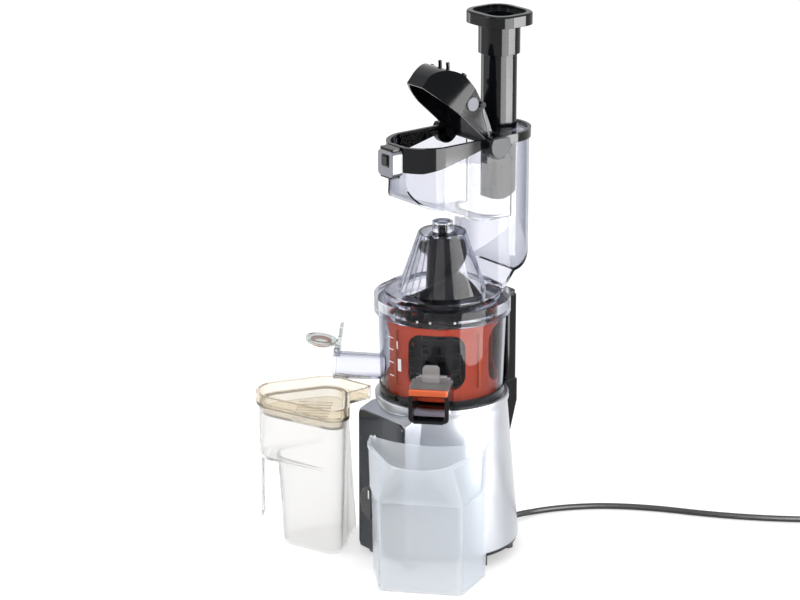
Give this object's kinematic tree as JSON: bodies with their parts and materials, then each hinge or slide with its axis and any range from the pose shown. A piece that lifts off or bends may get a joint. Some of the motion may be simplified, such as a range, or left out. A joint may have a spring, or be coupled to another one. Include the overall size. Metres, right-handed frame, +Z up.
{
  "type": "slow juicer",
  "caption": "Upright cold press juicer: motor base, clear juice bowl with auger and strainer, hopper with flip hood and pusher, juice jug, pulp container, mains cord.",
  "frame": {"origin": "on the auger's axis at the level of the worktop that the feet stand on", "axes": "+Z up along the auger's axis, -Y towards the control panel, +X to the right as seen from the panel, the feed tube and the mains cord at +Y"},
  "size_m": [0.3725, 0.6092, 0.5485],
  "materials": {
    "silver_body": "satin silver lacquer on moulded plastic",
    "black_matte": "black moulded plastic, fine texture",
    "black_gloss": "black high gloss plastic",
    "panel_gloss": "glossy black glass-like panel with plain white symbols",
    "knob_black": "black knob with a satin metal rim",
    "satin_metal": "satin metal ring",
    "clear_plastic": "clear polished plastic",
    "smoke_plastic": "dark smoky transparent plastic",
    "orange_silicone": "orange-red silicone",
    "cage_red": "orange-red plastic",
    "strainer_black": "black plastic with fine slots",
    "auger_black": "black hard plastic",
    "gear_white": "natural nylon",
    "steel": "bare steel",
    "bronze": "bronze bearing or pinion",
    "board_green": "circuit board",
    "inner_grey": "grey moulded plastic",
    "foot_rubber": "black rubber",
    "disc_grey": "silver grey plastic",
    "chrome_trim": "bright chrome",
    "jug_frost": "frosted clear plastic",
    "jug_amber": "pale amber translucent plastic",
    "pulp_blue": "bluish translucent plastic",
    "cord_black": "black cable sheath"
  },
  "bodies": {
    "base": {"base_housing": "silver_body", "bottom_plate": "black_matte", "feet": "foot_rubber", "bottom_screws": "steel", "bowl_collar": "silver_body", "front_panel": "panel_gloss", "knob_bezel": "satin_metal", "rotary_switch": "inner_grey", "control_board": "board_green", "column_base": "black_gloss", "interlock_post": "black_gloss", "column_cap": "black_matte", "interlock_switch": "inner_grey", "motor_can": "steel", "gearbox_tray": "inner_grey", "gearbox_cover": "inner_grey", "stage_pin": "steel", "shaft_bearings": "bronze", "juice_bowl": "clear_plastic", "bowl_pins": "steel", "bowl_foot_ring": "smoke_plastic", "hub_seal": "orange_silicone", "outlet_frame": "black_gloss", "spin_pin": "steel", "strainer": "strainer_black", "strain_relief": "cord_black", "cord_lead": "cord_black", "cord_coil": "cord_black", "cord_plug": "cord_black"},
    "motor": {"motor_rotor": "steel", "motor_pinion": "bronze", "cooling_fan": "black_matte"},
    "auger": {"auger": "auger_black", "drive_shaft": "steel", "drive_gear": "gear_white"},
    "stage": {"stage_gear": "gear_white"},
    "idler": {"spin_idler": "gear_white"},
    "brush": {"brush_cage": "cage_red", "wiper_blades": "orange_silicone"},
    "knob": {"control_knob": "knob_black", "knob_shaft": "steel"},
    "spout_cap": {"spout_cap": "clear_plastic", "spout_seal": "orange_silicone"},
    "pulp_gate": {"pulp_gate": "smoke_plastic", "gate_seal": "orange_silicone"},
    "lid": {"hopper_lid": "clear_plastic", "feed_scoop": "clear_plastic", "hopper_rim": "black_gloss", "hinge_brackets": "black_gloss", "hinge_caps": "disc_grey", "latch_block": "chrome_trim", "latch_cap": "black_gloss", "pusher_guide": "clear_plastic"},
    "hood": {"feed_hood": "black_gloss", "hood_discs": "disc_grey"},
    "pusher": {"pusher": "black_gloss"},
    "latch_button": {"latch_button": "black_matte"},
    "jug": {"juice_jug": "jug_frost"},
    "jug_lid": {"jug_lid": "jug_amber"},
    "pulp_container": {"pulp_container": "pulp_blue"}
  },
  "joints": [
    {"name": "motor_spin", "type": "hinge", "parent": "base", "child": "motor", "pos_m": [0, 0.008, 0.05], "axis": [0, 0, 1], "continuous": true},
    {"name": "auger_spin", "type": "hinge", "parent": "base", "child": "auger", "pos_m": [0, 0, 0.2], "axis": [0, 0, 1], "continuous": true},
    {"name": "stage_spin", "type": "hinge", "parent": "base", "child": "stage", "pos_m": [0, 0.035, 0.09], "axis": [0, 0, 1], "continuous": true},
    {"name": "idler_spin", "type": "hinge", "parent": "base", "child": "idler", "pos_m": [0, 0.0285, 0.177], "axis": [0, 0, 1], "continuous": true},
    {"name": "brush_spin", "type": "hinge", "parent": "base", "child": "brush", "pos_m": [0, 0, 0.2], "axis": [0, 0, 1], "continuous": true},
    {"name": "knob_turn", "type": "hinge", "parent": "base", "child": "knob", "pos_m": [0, -0.08, 0.066], "axis": [0, -1, 0], "range_deg": [-45, 45]},
    {"name": "cap_flip", "type": "hinge", "parent": "base", "child": "spout_cap", "pos_m": [-0.07495, -0.07495, 0.2077], "axis": [0.7071, -0.7071, 0], "range_deg": [0, 98]},
    {"name": "gate_lift", "type": "hinge", "parent": "base", "child": "pulp_gate", "pos_m": [0.04863, -0.05035, 0.2041], "axis": [-0.7193, -0.6947, 0], "range_deg": [0, 45]},
    {"name": "lid_twist", "type": "hinge", "parent": "base", "child": "lid", "pos_m": [0, 0, 0.26], "axis": [0, 0, 1], "range_deg": [0, 25]},
    {"name": "hood_fold", "type": "hinge", "parent": "lid", "child": "hood", "pos_m": [0, 0.036, 0.425], "axis": [1, 0, 0], "range_deg": [0, 36]},
    {"name": "pusher_push", "type": "slide", "parent": "lid", "child": "pusher", "axis": [0, 0, -1], "range_m": [0, 0.0668]},
    {"name": "latch_press", "type": "slide", "parent": "lid", "child": "latch_button", "axis": [0, 1, 0], "range_m": [0, 0.002], "stiffness_N_per_m": 900, "springref_m": -0.0005},
    {"name": "jug_slide", "type": "slide", "parent": "base", "child": "jug", "axis": [-0.7071, -0.7071, 0], "range_m": [0, 0.15]},
    {"name": "jug_lid_lift", "type": "slide", "parent": "jug", "child": "jug_lid", "axis": [0, 0, 1], "range_m": [0, 0.012]},
    {"name": "pulp_container_slide", "type": "slide", "parent": "base", "child": "pulp_container", "axis": [0.6691, -0.7431, 0], "range_m": [0, 0.15]}
  ],
  "couplings": [
    {"joint": "auger_spin", "follows": "motor_spin", "ratio": 0.071429},
    {"joint": "stage_spin", "follows": "motor_spin", "ratio": -0.28571},
    {"joint": "idler_spin", "follows": "motor_spin", "ratio": -0.12245},
    {"joint": "brush_spin", "follows": "motor_spin", "ratio": -0.032967}
  ]
}
